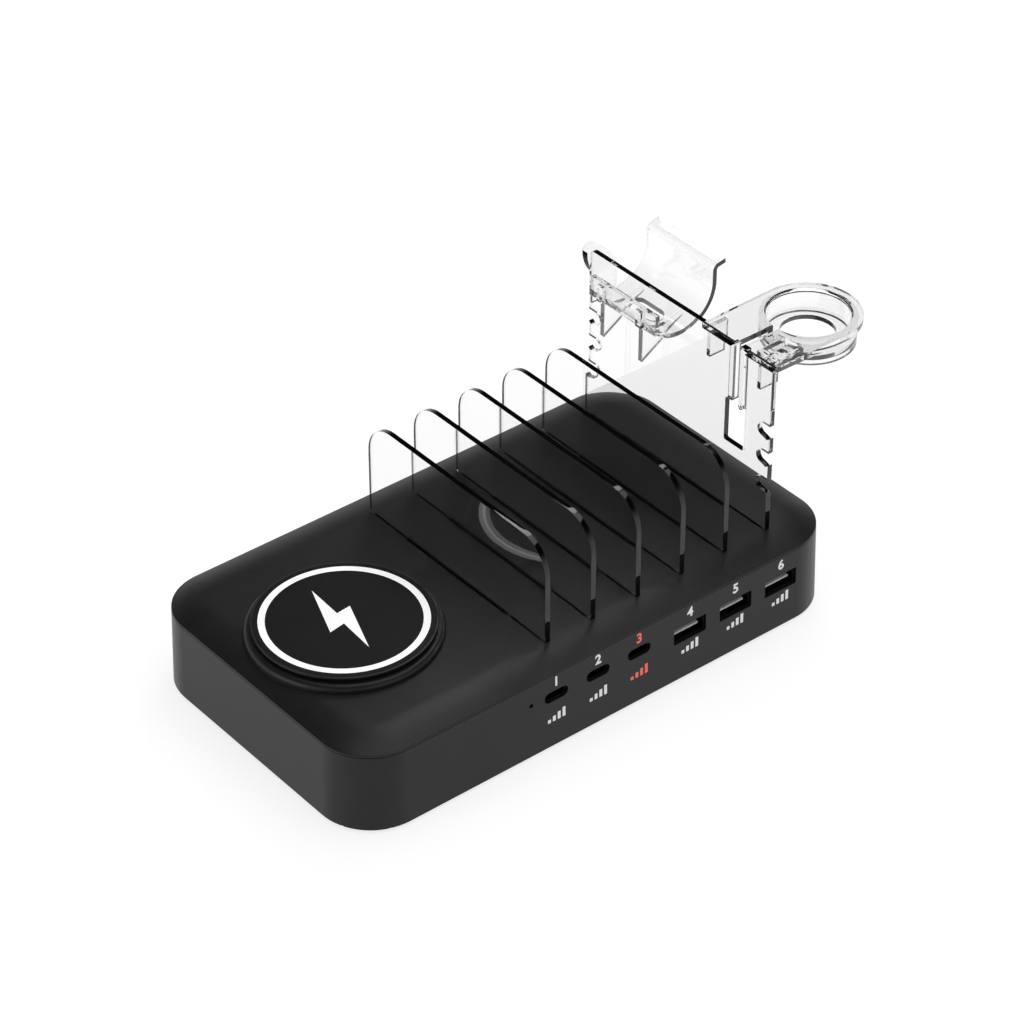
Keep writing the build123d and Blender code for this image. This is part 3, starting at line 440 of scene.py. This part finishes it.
def finished(node, edge_round, above=None):
    """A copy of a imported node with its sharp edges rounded, all of them or those above a height."""
    bm = bmesh.new()
    bm.from_mesh(frame["nodes"][node].data)
    bmesh.ops.remove_doubles(bm, verts=bm.verts, dist=weld_distance)
    bmesh.ops.dissolve_limit(bm, angle_limit=flat_angle, verts=bm.verts, edges=bm.edges)
    sharp = [e for e in bm.edges if len(e.link_faces) == 2 and e.calc_face_angle() > sharp_angle]
    if above is not None:
        sharp = [e for e in sharp if min(v.co.z for v in e.verts) > above]
    bmesh.ops.bevel(
        bm, geom=sharp, offset=edge_round * MM, offset_type="OFFSET", affect="EDGES",
        segments=round_segments, profile=0.5, material=-1, clamp_overlap=True,
    )
    print(node, "edges rounded:", len(sharp), "faces:", len(bm.faces))
    piece = as_piece(bm, f"{node}_finished", node_body[node], node_slot[node])
    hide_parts(node)


print("rounds are made of", round_segments, "faces across")

# %% [markdown]
# ## Rounds of the pieces that show
# Mouldings have rounds of a tenth or two of a millimetre, and folded steel has less. The sheets are cut
# and lightly broken at their edges. Their tongues stand in the cover with hardly any room, so only the
# edges that are above the cover's flat top get the round.

# %% Every piece that shows
edge_rounds = {
    "lower_case": 0.12, "top_cover": 0.12, "pad_shell": 0.15, "pad_face": 0.1, "rubber_feet": 0.1,
    "power_inlet": 0.15, "usb_a_shells": 0.06, "usb_c_shells": 0.06, "usb_a_tongues": 0.1,
    "usb_c_tongues": 0.08, "earbud_tray": 0.15, "watch_holder": 0.15,
}
sheet_round = 0.1
tongue_depth = 8.0 * MM
clear_of_cover = 0.1 * MM
cover_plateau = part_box("back_plate")[0].z + tongue_depth
for node, edge_round in edge_rounds.items():
    finished(node, edge_round)
for node in sorted(frame["nodes"]):
    if node.startswith("divider_") or node == "back_plate":
        finished(node, sheet_round, above=cover_plateau + clear_of_cover)

# %% [markdown]
# ## Print on the pad
# The white ring and the charging bolt are screen printed, so they are very thin solids that lie on
# the pad's face. An image could hold them, but a solid keeps a crisp edge at any distance. The ring is
# two circles bridged, and the bolt is one face, both extruded by the ink's height.

# %% Raising a flat shape to the ink's height
ink = 0.03 * MM
pad_low, pad_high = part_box("pad_face")
pad_middle = (pad_low + pad_high) / 2
pad_top = pad_high.z


def raise_faces(bm, height, direction):
    """Extrudes every face of a flat bmesh along a direction and closes it."""
    made = bmesh.ops.extrude_face_region(bm, geom=list(bm.faces), use_keep_orig=True)
    moved = [v for v in made["geom"] if isinstance(v, bmesh.types.BMVert)]
    bmesh.ops.translate(bm, verts=moved, vec=Vector(direction) * height)
    bmesh.ops.recalc_face_normals(bm, faces=bm.faces)


print("pad print at height", round(pad_top, 5))

# %% Ring and bolt
ring_outer = 27.5 * MM
ring_inner = 25.2 * MM
ring_segments = 160
bolt_points = [(0.7, 18.2), (-0.1, 3.7), (5.4, 4.2), (-2.6, -16.3), (-1.5, -1.8), (-7.6, -2.8)]
bm = bmesh.new()
for radius in (ring_outer, ring_inner):
    bmesh.ops.create_circle(bm, segments=ring_segments, radius=radius)
bmesh.ops.bridge_loops(bm, edges=bm.edges)
bmesh.ops.translate(bm, verts=bm.verts, vec=(pad_middle.x, pad_middle.y, pad_top))
raise_faces(bm, ink, (0, 0, 1))
as_piece(bm, "pad_ring_print", "base", "white_print_painted_glow")

bm = bmesh.new()
corners = [bm.verts.new((pad_middle.x + x * MM, pad_middle.y + y * MM, pad_top)) for x, y in bolt_points]
bmesh.ops.contextual_create(bm, geom=corners)
raise_faces(bm, ink, (0, 0, 1))
as_piece(bm, "pad_bolt_print", "base", "white_print_painted_glow")
print("ring from", ring_inner, "to", ring_outer, "and a bolt of", len(bolt_points), "corners")

# %% [markdown]
# ## Marks beside the sockets
# The front wall carries a mark over and under each socket. Plain numbers count the sockets, and rising
# bars under them stand for output. The wall leans by its moulding draft, so the marks are made flat,
# which is easy to measure, and then leaned and moved onto it.

# %% Onto the leaning wall
seam_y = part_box("top_cover")[0].y
wall_foot = case_low.z
wall_flare = 0.82 * MM
wall_height = 29.4 * MM
wall_lean = math.atan2(wall_flare, wall_height)
mark_sink = ink / 3
socket_xs = [-22.1, -4.8, 12.4, 34.1, 53.8, 73.8]


def onto_wall(bm, x, rise):
    """Leans a flat mark and moves it to a place on the front wall, its back just in the plastic."""
    lean = Matrix.Rotation(math.pi / 2 - wall_lean, 4, "X")
    y = seam_y - wall_flare * (1 - rise / wall_height) - mark_sink
    spot = Vector((case_middle.x + x * MM, y, wall_foot + rise))
    bmesh.ops.transform(bm, verts=bm.verts, matrix=Matrix.Translation(spot) @ lean)


print("the wall leans by", round(math.degrees(wall_lean), 2), "degrees")

# %% [markdown]
# ## A number
# A text object gives a clean figure in any size. It is made a mesh before it is leaned and moved, so
# that its place is in the mesh, and it is welded so that its front and sides meet. The offset thickens
# the strokes a little, as ink that spreads does.

# %% Numbers
number_height = 3.7 * MM
capital_share = 0.73
stroke_spread = 0.14 * MM
number_rise = 25.3 * MM


def print_number(number, x, finish):
    """Prints a number over the socket at x, its type size worked out from the height of a capital."""
    text = bpy.data.curves.new(f"number_{number}", "FONT")
    text.body = str(number)
    text.size = number_height / capital_share
    text.offset = stroke_spread
    text.align_x = "CENTER"
    text.align_y = "CENTER"
    text.extrude = ink / 2
    lettering = bpy.data.objects.new(f"number_{number}_text", text)
    bpy.context.scene.collection.objects.link(lettering)
    bpy.context.view_layer.update()
    bm = bmesh.new()
    bm.from_mesh(bpy.data.meshes.new_from_object(lettering))
    bpy.data.objects.remove(lettering)
    bmesh.ops.remove_doubles(bm, verts=bm.verts, dist=weld_distance)
    onto_wall(bm, x, number_rise)
    as_piece(bm, f"socket_number_{number}", "base", finish)


print("numbers are", number_height, "high")

# %% [markdown]
# ## Rising bars
# Four upright bars that grow to the right stand under each socket. They could be faces extruded as the
# bolt is. A cube scaled to a bar's width and height and to the ink's thickness is shorter to write.
# Their feet are on one line, and the four make one piece.

# %% Bars
bar_width = 1.2 * MM
bar_gap = 0.8 * MM
bar_heights = [1.3 * MM, 2.1 * MM, 2.9 * MM, 3.7 * MM]
bars_rise = 11.95 * MM


def print_bars(number, x, finish):
    """Prints the rising bars under the socket at x."""
    bm = bmesh.new()
    for step, height in enumerate(bar_heights):
        made = bmesh.ops.create_cube(bm, size=1.0)["verts"]
        shift = (step - (len(bar_heights) - 1) / 2) * (bar_width + bar_gap)
        place = Matrix.Translation((shift, (height - bar_heights[-1]) / 2, 0))
        bmesh.ops.transform(bm, verts=made, matrix=place @ Matrix.Diagonal((bar_width, height, ink, 1)))
    onto_wall(bm, x, bars_rise)
    as_piece(bm, f"socket_bars_{number}", "base", finish)


print("the tallest bar is", bar_heights[-1], "high")

# %% [markdown]
# ## Every socket
# One loop marks all six. The marks of the third are printed in salmon, which sets that socket apart.

# %% Mark the sockets
salmon_socket = 3
for number, x in enumerate(socket_xs, start=1):
    finish = "salmon_print_painted_glow" if number == salmon_socket else "white_print_painted_glow"
    print_number(number, x, finish)
    print_bars(number, x, finish)
print("sockets marked:", len(socket_xs))

# %% [markdown]
# ## Painted light lines in the wide sockets
# Each wide socket shows a light line under its tongue's front edge. It is a painted highlight: a pale
# box stands in for the light on that edge. The imported tongues are one dark piece, and painting an edge
# of it would need a mask, so each nose is one small box that lies against its tongue and reaches past
# it.

# %% Tongue noses
wide_socket_xs = socket_xs[3:]
nose_width = 10.6 * MM
nose_depth = 3.0 * MM
nose_reach = 1.0 * MM
nose_height = 0.7 * MM
tongue_lift = 2.53 * MM
tongue_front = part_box("usb_a_tongues")[0].y
tongue_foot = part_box("usb_a_shells")[0].z + tongue_lift
nose_middle = tongue_foot + ink - nose_height / 2
# Each box is a painted highlight, a pale line under a tongue's front edge
bm = bmesh.new()
for x in wide_socket_xs:
    made = bmesh.ops.create_cube(bm, size=1.0)["verts"]
    spot = Vector((case_middle.x + x * MM, tongue_front - nose_reach + nose_depth / 2, nose_middle))
    shape = Matrix.Diagonal((nose_width, nose_depth, nose_height, 1))
    bmesh.ops.transform(bm, verts=made, matrix=Matrix.Translation(spot) @ shape)
as_piece(bm, "socket_painted_light_lines", "base", "painted_highlight_ivory")
print("tongue noses at height", round(tongue_foot, 5))
